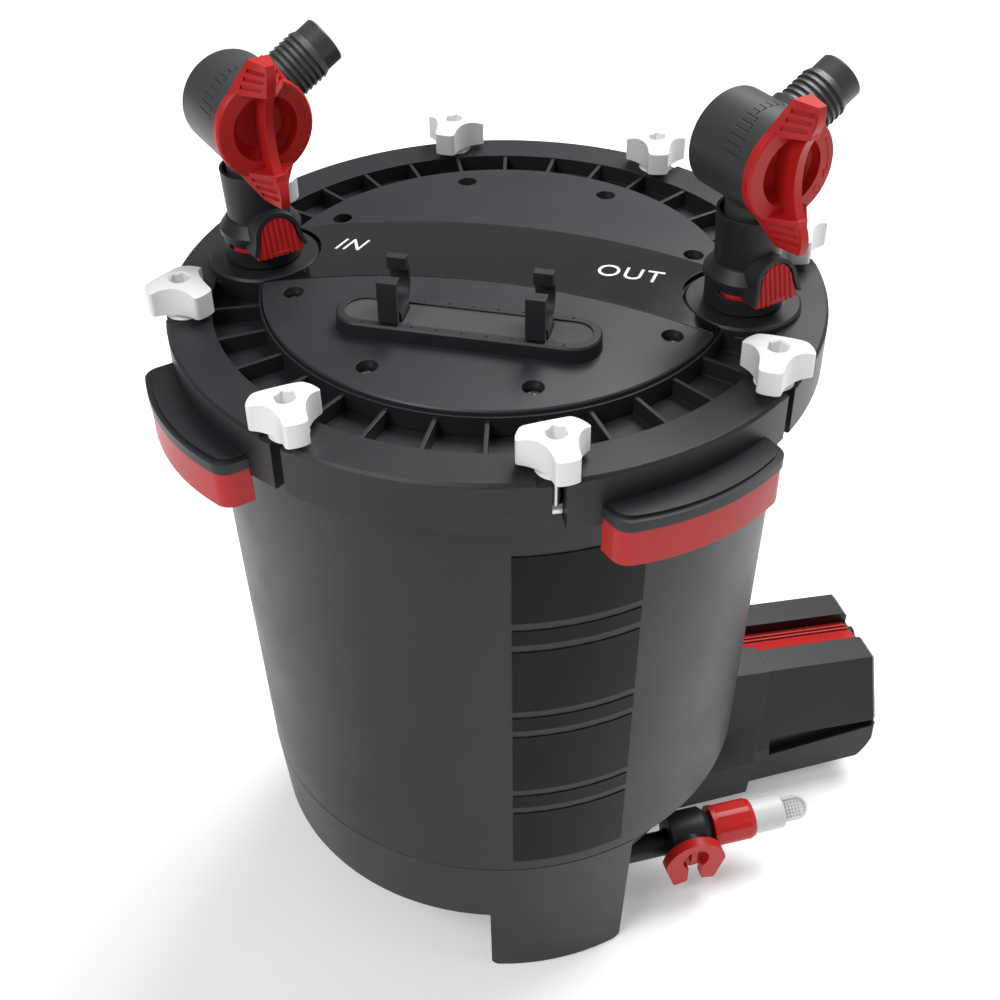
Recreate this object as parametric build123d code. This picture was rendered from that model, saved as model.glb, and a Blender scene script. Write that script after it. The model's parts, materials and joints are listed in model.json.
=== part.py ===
from build123d import *
from math import atan2, cos, degrees, radians, sin, tan
import os

# An external canister filter: a round tank with a clamped lid, two shut-off valves with
# hose tails, three stacked media baskets, a magnetic-drive pump motor and a purge valve.
# Millimetres. +Z is up and the origin is on the canister's axis, on the floor.
# Bearings are degrees round that axis, from the front (-Y) towards +X.

# ---- Driving heights and radii ---------------------------------------------------------
FLANGE_R = 170.0
LID_TOP = 405.0
LID_JOIN = 389.7
FLANGE_BOTTOM = 376.6
BODY_TOP_R = 155.0
SEAM_Z = 106.0
SEAM_R = 147.9
SKIRT_Z = 57.0
SKIRT_R = 144.5
FOOT_R = 141.0
WALL = 4.0
GAP = 0.35

# ---- Lid, cover and what stands on them ------------------------------------------------
POCKET_IN = 121.5
POCKET_OUT = 147.0
POCKET_FLOOR = 395.5
POCKET_COUNT = 32
RIB = 2.0
COVER_R = 121.0
COVER_SEAT = 402.5
COVER_EDGE = 409.0
COVER_CROWN = 413.0
SPIGOT_R = 149.0
SPIGOT_Z = 377.0
SCREW_R = 105.0
SCREW_SEAT = 403.6
SEAL_R = 148.9
SEAL_Z = 382.5
BAND_BACK = 46.0
BAND_FRONT = -13.6
BAND_ARC_R = 360.0
BAND_SEAT = 407.0

# ---- Fasteners -------------------------------------------------------------------------
BOLT_COUNT = 8
BOLT_FIRST = 22.5
BOLT_STEP = 45.0
BOLT_R = 160.0
PIVOT_Z = 383.15
ROD_R = 2.5
SLOT_W = 6.5
TRUNNION_R = 3.4
BOLT_PIN_R = 1.5
KNOB_FOOT = LID_TOP + GAP
KNOB_TIP_R = 19.0
KNOB_SPINS = (8, 47, 20, 95, 33, 70, 12, 58)

# ---- Valves ----------------------------------------------------------------------------
PORT_R = 126.5
PORT_SKEW = {-1: -3.0, 1: 3.5}
PORT_BOSS_R = 29.5
PORT_TOP = 409.0
PORT_BORE = 14.2
STEM_R = 14.12
VALVE_Z = 488.0
NECK_SEAT = 448.0
BARREL_R = 25.0
BARREL_BACK = -22.5
BARREL_FRONT = 18.5
TAIL_TIP = 54.4
TAIL_R = 12.1
TAIL_BORE = 9.0
TAIL_RISE = 30.5
TAIL_SMOOTH = 44.5
FLOW_R = 8.0
BALL_R = 11.5
LEVER_SPAN = 36.5
FACING = 45.0
BUTTON_TRAVEL = 4.0
PLATE_LOW = 419.0
PLATE_HIGH = 421.6
HOOD_Z = 428.5
HOOD_R = 10.3
HOOD_FLARE = 0.33
BUTTON_FRONT = 24.6
BUTTON_LEAN = -12.0

# ---- Motor and purge valve -------------------------------------------------------------
MOTOR_BEARING = 118.0
MOTOR_IN = 153.0
MOTOR_OUT = 252.0
MOTOR_AXIS_Z = 50.0
MOTOR_SLOPE = 5.0
PURGE_SIDE = 98.0
PURGE_Z = 39.0
MOTOR_TOP_OUT = 92.0
MOTOR_BOTTOM_OUT = 10.0
MOTOR_CORNER = 36.0
GLAND = (-20.0, 62.0)
STATOR_R = 30.0
WELL_R = 15.6
WELL_END = 212.0
STATOR = (168.0, 210.0)
SHAFT_R = 2.0
STEM_S = 93.5
NUT = (111.0, 139.0)

# ---- Tank sizes ------------------------------------------------------------------------
BOWL = ((143.0, 103.0), (139.0, 94.0), (124.0, 58.0), (108.0, 30.0))
CHAMBER_R = 33.0
CHAMBER_BORE = 29.0
CHAMBER_IN = 62.0
CHAMBER_END = 4.0
INLET_R = 11.0
CHAMBER_OUT = 150.0
PURGE_BORE = 5.0

# ---- Skirt and feet sizes --------------------------------------------------------------
LEG_SPAN = 34.0
LEG_BEARINGS = (27.0, 160.0, 267.0)
LEG_IN = 112.0
SKIRT_WALL = 3.2
PAD_R = 7.0
PAD_AT = 128.0

# ---- Carrying handles sizes ------------------------------------------------------------
HANDLE_BEARINGS = (45.0, -45.0)
HANDLE_HALF = 47.0
HANDLE_OUT = 187.0
SHELF_TOP = 389.0
GRIP_LOW = 382.0
BAND_LOW = 362.0

# ---- Side panel sizes ------------------------------------------------------------------
PANEL_MIDDLE = 28.0
PANEL_SPAN = 25.0
PANEL_LOW = 114.0

# ---- Clip tray sizes -------------------------------------------------------------------
TRAY_Y = -61.0
TRAY_HALF = 66.0
TRAY_R = 14.5
TRAY_TOP = 419.0
INSERT_R = 10.0
CLIP_X = 36.0
CLIP_W = 9.6
CLIP_IN = 10.0
CLIP_T = 2.6
CLIP_AXIS_Z = 433.5

# ---- Inside the tank sizes -------------------------------------------------------------
RISER_R = 11.0
RISER_FOOT = (104.0, 55.3, 0.0)
BASKET_LOW = 120.0
BASKET_STEP = 87.0
BASKET_R = 111.0


def at_bearing(bearing, r=0.0, z=0.0):
    """A place whose local X points outward at the bearing."""
    return Rot(0, 0, bearing - 90) * Pos(r, 0, z)


def turned(points, arc=360.0):
    """A solid turned about Z from an (r, z) outline."""
    outline = make_face(Plane.XZ * Polyline(*points, close=True))
    return revolve(outline, Axis.Z, revolution_arc=arc)


def sector(points, middle, span):
    """Part of a turned solid, centred on a bearing."""
    return Rot(0, 0, middle - 90 - span / 2) * turned(points, span)


def post(r, low, high):
    return Pos(0, 0, low) * Cylinder(r, high - low, align=(Align.CENTER, Align.CENTER, Align.MIN))


def cone(r_low, r_high, low, high):
    return Pos(0, 0, low) * Cone(
        r_low, r_high, high - low, align=(Align.CENTER, Align.CENTER, Align.MIN)
    )


def block(x0, x1, y0, y1, z0, z1):
    centre = Pos((x0 + x1) / 2, (y0 + y1) / 2, (z0 + z1) / 2)
    return centre * Box(x1 - x0, y1 - y0, z1 - z0)


def at_port(side):
    """The centre of a port: -1 is the intake's, 1 the outlet's."""
    return Pos(side * PORT_R, PORT_SKEW[side], 0)


def bolt_bearings():
    return [BOLT_FIRST + BOLT_STEP * k for k in range(BOLT_COUNT)]


def wall_r(z):
    """Outer radius of the tapered tank wall."""
    return SEAM_R + (BODY_TOP_R - SEAM_R) * (z - SEAM_Z) / (FLANGE_BOTTOM - SEAM_Z)


# ---- Tank ------------------------------------------------------------------------------
def motor_frame(s=0.0, t=0.0, z=0.0):
    """Local X runs out along the motor, local Y to the side away from the purge valve."""
    return at_bearing(MOTOR_BEARING) * Pos(s, -t, z)


def along_motor(r, s0, s1, t=0.0, z=MOTOR_AXIS_Z):
    return motor_frame(0, t, z) * Rot(0, 90, 0) * post(r, s0, s1)


def canister_body():
    outer = [(0, 26), (BOWL[3][0], 26)]
    outer += [BOWL[3], BOWL[2], BOWL[1], BOWL[0], (143.0, SEAM_Z), (SEAM_R, SEAM_Z)]
    outer += [(BODY_TOP_R, FLANGE_BOTTOM), (FLANGE_R - 1, FLANGE_BOTTOM)]
    outer += [(FLANGE_R, FLANGE_BOTTOM + 1), (FLANGE_R, LID_JOIN), (0, LID_JOIN)]
    inner = [(0, 30), (BOWL[3][0] - WALL, 31)]
    inner += [(BOWL[2][0] - WALL, BOWL[2][1] + 1), (BOWL[1][0] - WALL, BOWL[1][1] + 2)]
    inner += [(SEAM_R - WALL, SEAM_Z + 6), (BODY_TOP_R - WALL, FLANGE_BOTTOM)]
    inner += [(BODY_TOP_R - WALL, LID_JOIN + 1), (0, LID_JOIN + 1)]
    body = turned(outer) + along_motor(CHAMBER_R, CHAMBER_IN, CHAMBER_OUT)
    stub = along_motor(8.0, 40, 80, PURGE_SIDE, PURGE_Z - 6)
    body = body + stub - turned(inner)
    body = body + along_motor(CHAMBER_R, CHAMBER_IN, CHAMBER_OUT)
    body = body - along_motor(CHAMBER_BORE, CHAMBER_IN + CHAMBER_END, CHAMBER_OUT + 1)
    body = body - inlet_holes() - along_motor(SHAFT_R + 0.02, CHAMBER_IN + 1, 80)
    body = body - along_motor(PURGE_BORE, 30, 81, PURGE_SIDE, PURGE_Z - 6)
    body = body - Pos(*RISER_FOOT) * post(RISER_R + 0.3, 60, 84)
    for bearing in bolt_bearings():
        body = body - at_bearing(bearing) * bolt_slot(FLANGE_BOTTOM - 1, LID_JOIN + 1)
        pin_hole = Pos(BOLT_R, 0, PIVOT_Z) * Rot(90, 0, 0) * Cylinder(BOLT_PIN_R + 0.05, 17)
        body = body - at_bearing(bearing) * pin_hole
    return body


def inlet_holes():
    """Three openings in the pump chamber's end wall, round the shaft's socket."""
    end = CHAMBER_IN + CHAMBER_END + 1
    opening = along_motor(INLET_R, CHAMBER_IN - 1, end) - along_motor(4.5, CHAMBER_IN - 2, end + 1)
    for k in range(3):
        spoke = block(CHAMBER_IN - 3, end + 2, -1.5, 1.5, 0, INLET_R + 1)
        opening = opening - motor_frame(0, 0, MOTOR_AXIS_Z) * Rot(120 * k, 0, 0) * spoke
    return opening


def bolt_slot(low, high):
    inner_end = BOLT_R - TRUNNION_R - 0.6
    return block(inner_end, FLANGE_R + 5, -SLOT_W / 2, SLOT_W / 2, low, high)


def base_skirt():
    """The skirt stops short of the motor and purge valve, and its three legs reach the floor."""
    top = SEAM_Z - 0.02
    leg_low = 1.0
    ring = [(SEAM_R, top - 0.9), (SKIRT_R, SKIRT_Z), (SKIRT_R - SKIRT_WALL, SKIRT_Z)]
    ring += [(SEAM_R - SKIRT_WALL, 97), (143.4, top), (SEAM_R - 0.9, top)]
    start = LEG_BEARINGS[0] + LEG_SPAN / 2
    stop = LEG_BEARINGS[1] - LEG_SPAN / 2
    span = 360 - (stop - start)
    skirt = sector(ring, (start + stop) / 2 + 180, span)
    leg = [(LEG_IN + 4, leg_low), (FOOT_R, leg_low), (SKIRT_R, SKIRT_Z), (SEAM_R, top - 0.9)]
    leg += [(SEAM_R - 0.9, top), (144.7, top), (139.8, 94), (124.6, 58), (LEG_IN, 35.5)]
    hollow = [(LEG_IN - 5, 6), (FOOT_R - 3.6, 6), (SKIRT_R - 3.6, SKIRT_Z)]
    hollow += [(SKIRT_R - 3.6, 120), (LEG_IN - 5, 120)]
    for middle in LEG_BEARINGS:
        solid = sector(leg, middle, LEG_SPAN)
        corners = solid.edges().filter_by(lambda e: abs(e.center().Z - leg_low) < 0.1)
        corners = corners.filter_by(lambda e: abs(e.length - (FOOT_R - LEG_IN - 4)) < 1)
        solid = fillet(corners, 5.0)
        solid = solid - sector(hollow, middle, LEG_SPAN - 3.4)
        solid = solid - at_bearing(middle) * rubber_pad(0.15)
        skirt = skirt + solid
    return skirt


def rubber_pad(extra=0.0):
    """A round-ended pad let into the underside of a leg."""
    pad = extrude(SlotCenterToCenter(34, 2 * (PAD_R + extra), rotation=90), 3.0 + extra)
    return Pos(PAD_AT, 0, 0) * pad


def rubber_feet():
    feet = [at_bearing(bearing) * rubber_pad() for bearing in LEG_BEARINGS]
    return Compound(children=feet + motor_feet())


def motor_feet(extra=0.0):
    """Four round feet let into the motor's underside."""
    feet = []
    for s in (MOTOR_IN + 20, MOTOR_OUT - 46):
        for t in (-22, 22):
            feet.append(motor_frame(s, t) * post(8 + extra, 0, motor_bottom(s) + 2.0 + extra))
    return feet


# ---- Carrying handles ------------------------------------------------------------------
def handle_plan(inset, reach_in):
    """Plan of a handle: an arc a little flatter than the flange, with round ends."""
    half = HANDLE_HALF - inset
    out = HANDLE_OUT - inset
    bow = 9.0
    end = out - bow
    outer = ThreePointArc((end, -half), (out, 0), (end, half))
    outline = [outer, Line((end, half), (reach_in, half)), Line((reach_in, half), (reach_in, -half))]
    outline.append(Line((reach_in, -half), (end, -half)))
    face = make_face(Curve() + outline)
    tips = face.vertices().sort_by(Axis.X)[-2:]
    return fillet(tips, 9.0)


def flange_clear():
    return post(FLANGE_R + 0.02, 300, 420)


def handle_grips():
    grips = []
    for bearing in HANDLE_BEARINGS:
        shelf = extrude(Pos(0, 0, GRIP_LOW) * handle_plan(2.6, 150), SHELF_TOP - GRIP_LOW)
        lip = extrude(Pos(0, 0, GRIP_LOW) * handle_plan(0, 150), 5.4)
        grip = at_bearing(bearing) * (shelf + lip) - flange_clear()
        grips.append(grip)
    return Compound(children=grips)


def handle_bands():
    """Red strap under each grip, open below, with a finger gap behind it."""
    bands = []
    depth = GRIP_LOW - BAND_LOW
    for bearing in HANDLE_BEARINGS:
        outside = extrude(Pos(0, 0, BAND_LOW) * handle_plan(0.6, 163), depth)
        inside = extrude(Pos(0, 0, BAND_LOW - 1) * handle_plan(6.4, 150), depth + 2)
        band = at_bearing(bearing) * (outside - inside)
        body = turned([(0, 300), (wall_r(300) + 0.02, 300), (wall_r(390) + 0.02, 390), (0, 390)])
        ends_clear = post(FLANGE_R + 0.02, FLANGE_BOTTOM - 0.02, 400)
        bands.append(band - body - ends_clear)
    return Compound(children=bands)


def side_panel():
    """Plain glossy bars let into the tank wall, thicker and thinner in turn."""
    bars = []
    z = PANEL_LOW
    for height in (44, 10, 44, 10, 44, 10, 44):
        low, high = z, z + height
        outline = [(wall_r(low) + 0.02, low), (wall_r(low) + 0.45, low)]
        outline += [(wall_r(high) + 0.45, high), (wall_r(high) + 0.02, high)]
        bars.append(sector(outline, PANEL_MIDDLE, PANEL_SPAN))
        z = high + 5
    return Compound(children=bars)


# ---- Lid -------------------------------------------------------------------------------
def lid():
    outer = [(0, 391), (SPIGOT_R - WALL, 391), (SPIGOT_R - WALL, SPIGOT_Z), (SPIGOT_R, SPIGOT_Z)]
    outer += [(SPIGOT_R, LID_JOIN + 0.02), (FLANGE_R, LID_JOIN + 0.02), (FLANGE_R, LID_TOP - 1.6)]
    outer += [(FLANGE_R - 1.6, LID_TOP), (POCKET_OUT, LID_TOP), (POCKET_OUT, POCKET_FLOOR)]
    outer += [(0, POCKET_FLOOR)]
    body = turned(outer)
    body = body - turned([(SEAL_R - 2.05, SEAL_Z - 2), (SPIGOT_R + 1, SEAL_Z - 2),
                          (SPIGOT_R + 1, SEAL_Z + 2), (SEAL_R - 2.05, SEAL_Z + 2)])
    ring_in = POCKET_IN - 4.5
    body = body + turned([(ring_in, 395), (POCKET_IN, 395), (POCKET_IN, COVER_SEAT),
                          (ring_in, COVER_SEAT)])
    rib = block(POCKET_IN + 0.2, POCKET_OUT + 1, -RIB / 2, RIB / 2, 395, LID_TOP - 0.6)
    body = body + [at_bearing(360 / POCKET_COUNT * k) * rib for k in range(POCKET_COUNT)]
    lip = [(POCKET_IN - 0.5, 396), (POCKET_IN + 1.2, 396), (POCKET_IN + 1.2, COVER_SEAT + 4)]
    lip += [(POCKET_IN - 0.1, COVER_SEAT + 4), (POCKET_IN - 0.1, 396)]
    body = body + turned(lip)
    for bearing in bolt_bearings():
        body = body + at_bearing(bearing, SCREW_R) * post(6, 395, COVER_SEAT)
        body = body - at_bearing(bearing, SCREW_R) * post(2.25, 393.4, COVER_SEAT + 1)
        body = body - at_bearing(bearing) * bolt_slot(LID_JOIN - 1, LID_TOP + 1)
        body = body - at_bearing(bearing) * knob_relief()
    for side in (-1, 1):
        port = cone(PORT_BOSS_R, PORT_BOSS_R - 1.2, PORT_TOP - 1.2, PORT_TOP)
        port = port + post(PORT_BOSS_R, 391, PORT_TOP - 1.2) + post(18, 380, 392)
        body = body + at_port(side) * port
        body = body - at_port(side) * post(PORT_BORE, 386, PORT_TOP + 1)
        body = body - at_port(side) * post(TAIL_BORE, 370, 390)
    return body


def knob_relief():
    """The rim falls away under each knob, round the bolt's pivot, so the knob can swing out."""
    reach = LID_TOP - PIVOT_Z
    half = 10.0
    round_nose = Pos(BOLT_R, 0, PIVOT_Z) * Rot(90, 0, 0) * Cylinder(reach - 0.05, 2 * half)
    stock = block(BOLT_R, FLANGE_R + 4, -half, half, PIVOT_Z, LID_TOP + 2)
    return stock - round_nose


def lid_seal():
    return Pos(0, 0, SEAL_Z) * Torus(SEAL_R - 0.05, 1.95)


def dome(lift, r, seat):
    """A disc whose top is a shallow dome."""
    top = ThreePointArc((-r, COVER_EDGE + lift), (0, COVER_CROWN + lift), (r, COVER_EDGE + lift))
    outline = [top, Line((r, COVER_EDGE + lift), (r, seat)), Line((r, seat), (0, seat))]
    outline.append(Line((0, seat), (-r, seat)))
    outline.append(Line((-r, seat), (-r, COVER_EDGE + lift)))
    half = make_face(Plane.XZ * (Curve() + outline)) - Plane.XZ * Pos(-r, 400) * Rectangle(2 * r, 90)
    return revolve(half, Axis.Z)


def band_prism(grow=0.0):
    """The arched strip that runs from one port to the other."""
    back = Pos(0, BAND_BACK + grow - BAND_ARC_R) * Circle(BAND_ARC_R)
    front = Pos(0, BAND_FRONT - grow - BAND_ARC_R) * Circle(BAND_ARC_R)
    return Pos(0, 0, 400) * extrude(back - front, 30)


def port_clearance(extra):
    ports = [at_port(side) * post(PORT_BOSS_R + extra, 390, 430) for side in (-1, 1)]
    return ports[0] + ports[1]


def cover_plate():
    plate = dome(0, COVER_R, COVER_SEAT + 0.02)
    rim = plate.edges().filter_by(GeomType.CIRCLE).filter_by(lambda e: e.center().Z > 408)
    plate = chamfer(rim, 0.8)
    plate = plate - (band_prism(0.1) & post(COVER_R + 5, BAND_SEAT, 420))
    plate = plate - port_clearance(0.6)
    for bearing in bolt_bearings():
        hole = post(5.4, SCREW_SEAT, 420) + post(2.6, 400, 420)
        plate = plate - at_bearing(bearing, SCREW_R) * hole
    plate = plate - Pos(0, TRAY_Y, 0) * tray_slab(0.1, 408.5, 420)
    return plate


def badge_band():
    band = dome(0.35, COVER_R - 0.5, BAND_SEAT + 0.02) & band_prism()
    return band - port_clearance(1.0)


def cover_screws():
    screws = []
    for bearing in bolt_bearings():
        head = post(4.2, SCREW_SEAT + 0.02, SCREW_SEAT + 1.7) + post(2.2, 394, SCREW_SEAT + 0.1)
        head = fillet(head.edges().sort_by(Axis.Z)[-1:], 0.7)
        for turn in (0, 90):
            head = head - Pos(0, 0, SCREW_SEAT + 1.7) * Rot(0, 0, turn + 20) * Box(4.6, 0.9, 1.8)
        screws.append(at_bearing(bearing, SCREW_R) * head)
    return Compound(children=screws)


# ---- Clip tray -------------------------------------------------------------------------
def tray_slab(grow, low, high, r=TRAY_R):
    outline = SlotCenterToCenter(2 * (TRAY_HALF - TRAY_R), 2 * (r + grow))
    return extrude(Pos(0, 0, low) * outline, high - low)


def clip_tray():
    tray = tray_slab(0, 408.5, TRAY_TOP)
    tray = chamfer(tray.edges().group_by(Axis.Z)[-1], 1.0)
    tray = tray - tray_slab(0.05, TRAY_TOP - 2.4, TRAY_TOP + 1, INSERT_R)
    pips = 9
    for row in (-1, 1):
        for k in range(pips):
            x = (k - (pips - 1) / 2) * 12.4
            pip = Pos(x, row * (TRAY_R + INSERT_R) / 2, TRAY_TOP) * Cylinder(0.7, 1.0)
            tray = tray - pip
    return Pos(0, TRAY_Y, 0) * tray


def tray_insert():
    insert = tray_slab(0, TRAY_TOP - 2.38, TRAY_TOP - 0.8, INSERT_R)
    for x in (-CLIP_X, CLIP_X):
        insert = insert - block(x - 5.5, x + 5.5, -7.2, 7.2, TRAY_TOP - 4, TRAY_TOP + 4)
    return Pos(0, TRAY_Y, 0) * insert


def hose_clips():
    """Two open rings for hoses, each on its own foot."""
    clips = []
    for x in (-CLIP_X, CLIP_X):
        ring = Cylinder(CLIP_IN + CLIP_T, CLIP_W) - Cylinder(CLIP_IN, CLIP_W + 2)
        ring = Pos(0, 0, CLIP_AXIS_Z) * Rot(0, 90, 0) * ring
        mouth = block(-CLIP_W, CLIP_W, -6.0, CLIP_IN - 4.2, CLIP_AXIS_Z, CLIP_AXIS_Z + 20)
        cut_front = block(-CLIP_W, CLIP_W, -20, 0, CLIP_AXIS_Z + 8.5, CLIP_AXIS_Z + 20)
        ring = ring - mouth - cut_front
        tip = block(-CLIP_W / 2, CLIP_W / 2, 5.0, 9.6, CLIP_AXIS_Z + 6, CLIP_AXIS_Z + 12.5)
        tip = tip + block(-CLIP_W / 2, CLIP_W / 2, -12.6, -9.8, 420, CLIP_AXIS_Z + 8.5)
        foot = block(-5.2, 5.2, -7, 7, TRAY_TOP - 2.38, CLIP_AXIS_Z - CLIP_IN - 1.0)
        foot = foot - Pos(0, 0, CLIP_AXIS_Z) * Rot(0, 90, 0) * Cylinder(CLIP_IN, 20)
        clips.append(Pos(x, TRAY_Y, 0) * (ring + tip + foot))
    return Compound(children=clips)


# ---- Swing bolts and knobs -------------------------------------------------------------
def swing_bolt():
    """Steel rod with a cross pin that turns in the tank flange."""
    drum = Rot(90, 0, 0) * Cylinder(TRUNNION_R, SLOT_W - 0.6)
    pin = Rot(90, 0, 0) * Cylinder(BOLT_PIN_R, 15.6)
    return Pos(BOLT_R, 0, 0) * (Pos(0, 0, PIVOT_Z) * (drum + pin) + post(ROD_R, PIVOT_Z, 414.5))


def knob():
    """Three-lobed nut with hollow flanks, a round foot and a hexagon socket."""
    lobes = Circle(KNOB_TIP_R - 1.2)
    for k in range(3):
        lobes = lobes - Rot(0, 0, 60 + 120 * k) * Pos(30.5, 0) * Circle(20.5)
    lobes = fillet(lobes.vertices(), 2.2)
    low = KNOB_FOOT + 3.2
    crown = 425.0
    head = extrude(Pos(0, 0, low) * lobes, crown - low)
    shape = Sphere(40)
    head = head & (Pos(0, 0, crown - 40) * shape)
    head = head + post(8.6, KNOB_FOOT + 1.0, low + 2) + cone(9.6, 8.6, KNOB_FOOT, KNOB_FOOT + 1)
    head = head - post(ROD_R + 0.05, KNOB_FOOT - 1, 415)
    socket = extrude(Pos(0, 0, 416.2) * RegularPolygon(4.6, 6, major_radius=False), 12)
    head = head - socket - cone(4.6, 6.4, crown - 1.4, crown + 0.1)
    return head


# ---- Valves ----------------------------------------------------------------------------
def barrel_frame():
    """Local Z along the barrel towards the lever, local X up."""
    front = (sin(radians(FACING)), -cos(radians(FACING)), 0)
    return Plane(origin=(0, 0, VALVE_Z), x_dir=(0, 0, 1), z_dir=front)


def facing(x=0.0, y=0.0, z=0.0):
    """Local X outward towards the release button."""
    return Rot(0, 0, FACING - 90) * Pos(x, y, z)


def tail_frame():
    """Local Z along the hose tail."""
    bearing = radians(FACING + 90)
    flat = cos(radians(TAIL_RISE))
    direction = (sin(bearing) * flat, -cos(bearing) * flat, sin(radians(TAIL_RISE)))
    return Plane(origin=(0, 0, VALVE_Z), x_dir=(sin(radians(FACING)), -cos(radians(FACING)), 0),
                 z_dir=direction)


def hood(grow, reach, low=PLATE_HIGH):
    """A tunnel over the release button, round at the top and wider at the foot."""
    r = HOOD_R + grow
    foot = r + (HOOD_Z - low) * HOOD_FLARE
    arch = ThreePointArc((-r, HOOD_Z), (0, HOOD_Z + r), (r, HOOD_Z))
    sides = Polyline((r, HOOD_Z), (foot, low), (-foot, low), (-r, HOOD_Z))
    return extrude(Plane.YZ * make_face(Curve() + [arch, sides]), reach)


def leaning(x, shape):
    """Stands a shape on the release plate, leaning back as the button's face does."""
    return Pos(x, 0, PLATE_LOW) * Rot(0, BUTTON_LEAN, 0) * shape


def valve_socket():
    """Stepped drum with a pocket for the release plate, under a tube that holds the barrel."""
    low = PORT_TOP + GAP
    drum = cone(18.8, 19.8, low, low + 1) + post(19.8, low + 1, 425)
    pocket = block(-8.4, 30, -18.1, 18.1, PLATE_LOW, PLATE_HIGH)
    pocket = pocket + block(3.0, 30, -24, 24, PLATE_LOW, PLATE_HIGH) - post(STEM_R, 410, 430)
    drum = drum - facing() * pocket
    core = drum + post(21.2, 424.5, 427.2) + cone(21.2, 17.0, 427.2, 433) + cone(16.2, 17.4, 431.5, 459.5)
    tunnel = hood(2.4, 30) - leaning(BUTTON_FRONT + 0.9, block(0, 40, -40, 40, -20, 60))
    core = core + post(STEM_R, 388, 440) + facing() * tunnel
    core = core - facing() * (hood(0.3, 32.0) & block(12.4, 32, -20, 20, 410, 450))
    return core - post(TAIL_BORE, 380, 460) - post(15.8, NECK_SEAT, 460)


def hose_tail():
    """Tail with sharp rings that slope towards a smooth tip, and a collar at its root."""
    tail = post(11.2, 10, TAIL_SMOOTH + 1) + post(15.0, 18, 24.5)
    tail = tail + post(TAIL_R, TAIL_SMOOTH, TAIL_TIP - 0.8)
    tail = tail + cone(TAIL_R, TAIL_R - 0.8, TAIL_TIP - 0.8, TAIL_TIP)
    return tail + [cone(13.6, 12.4, 25.4 + 3.2 * k, 28.6 + 3.2 * k) for k in range(6)]


def valve_barrel():
    frame = barrel_frame()
    drum = frame * (post(BARREL_R, BARREL_BACK + 1.5, BARREL_FRONT)
                    + cone(BARREL_R - 1.5, BARREL_R, BARREL_BACK, BARREL_BACK + 1.5))
    neck = post(13.6, NECK_SEAT + 0.02, 475) + (facing() * block(-3, 3, -13, 13, 455, 468))
    housing = drum + tail_frame() * hose_tail() + neck
    housing = housing - frame * (post(18.4, 11.6, 30) + Sphere(BALL_R + 0.4) + post(4.4, 0, 20))
    housing = housing - post(FLOW_R, 440, VALVE_Z) - tail_frame() * post(FLOW_R, 0, 60)
    scale = [frame * Rot(0, 0, -109 + 8.8 * k) * scale_mark(5.0 if k < 5 else 3.0 + k) for k in range(11)]
    return housing - scale


def scale_mark(long):
    """Thin groove along the barrel with a short foot at its front end."""
    line = block(-0.3, 0.3, BARREL_R - 0.5, BARREL_R + 1, 0.5, 0.5 + long)
    return line + block(-2.3, 0.3, BARREL_R - 0.5, BARREL_R + 1, long - 0.1, long + 0.5)


def lever_fin():
    """Upright plate across the lever's bowl, highest at both ends."""
    crest = [(LEVER_SPAN - 0.5, 37.5), (24, 36), (17, 32), (0, 28.5), (-17, 32), (-24, 36)]
    crest.append((-LEVER_SPAN + 0.5, 37.5))
    foot = [crest[-1], (-LEVER_SPAN, 27), (-24, 21), (-16, 20), (-11, 14), (11, 14), (16, 20)]
    foot += [(24, 21), (LEVER_SPAN, 27), crest[0]]
    face = make_face(Plane.XZ * (Curve() + [Spline(*crest), Polyline(*foot)]))
    return extrude(face, 2.3, both=True)


def lever_wing():
    """Wedge-shaped grip at one end of the fin, grooved across both slopes."""
    near = (20.0, BARREL_FRONT + GAP, 16.0, 35.0, 2.4)
    far = (LEVER_SPAN, 24.0, 5.5, 37.5, 2.3)
    faces = []
    for x, low, half, crest, top in (near, far):
        outline = Polyline((-half, low), (half, low), (top, crest), (-top, crest), close=True)
        faces.append(Pos(x, 0, 0) * (Plane.YZ * make_face(outline)))
    wing = loft([face.face() for face in faces], ruled=True)
    for k in range(3):
        x = 24.0 + 4.0 * k
        share = (x - near[0]) / (far[0] - near[0])
        _, low, half, crest, top = [a + (b - a) * share for a, b in zip(near, far)]
        lean = degrees(atan2(half - top, crest - low))
        for face in (-1, 1):
            middle = Pos(x, face * (half + top) / 2, (low + crest) / 2 + 1.5)
            wing = wing - middle * Rot(face * lean, 0, 0) * Box(2.0, 3.8, 12)
    return wing


def valve_lever():
    low = BARREL_FRONT + GAP
    ring = post(25.5, low, low + 3.8) + cone(25.5, 24.5, low + 3.8, low + 4.8)
    bowl = turned([(0, 12.0), (13.5, 13.2), (18.0, 18.6), (18.0, low + 3), (16.9, low + 3),
                   (15.8, 18.8), (12.0, 15.0), (0, 13.8)])
    wings = [Rot(0, 0, 180 * k) * lever_wing() for k in range(2)]
    lever = (ring - post(16.9, 0, 40)) + bowl + lever_fin() + wings + post(4.0, 9.5, 13)
    return barrel_frame() * lever


def valve_ball():
    """Ball with an inlet from below and an outlet towards the hose tail."""
    ball = barrel_frame() * (Sphere(BALL_R) & post(BALL_R + 1, -BALL_R, 9.4))
    return ball - post(FLOW_R - 0.5, 440, VALVE_Z) - tail_frame() * post(FLOW_R - 0.5, 0, 60)


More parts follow.
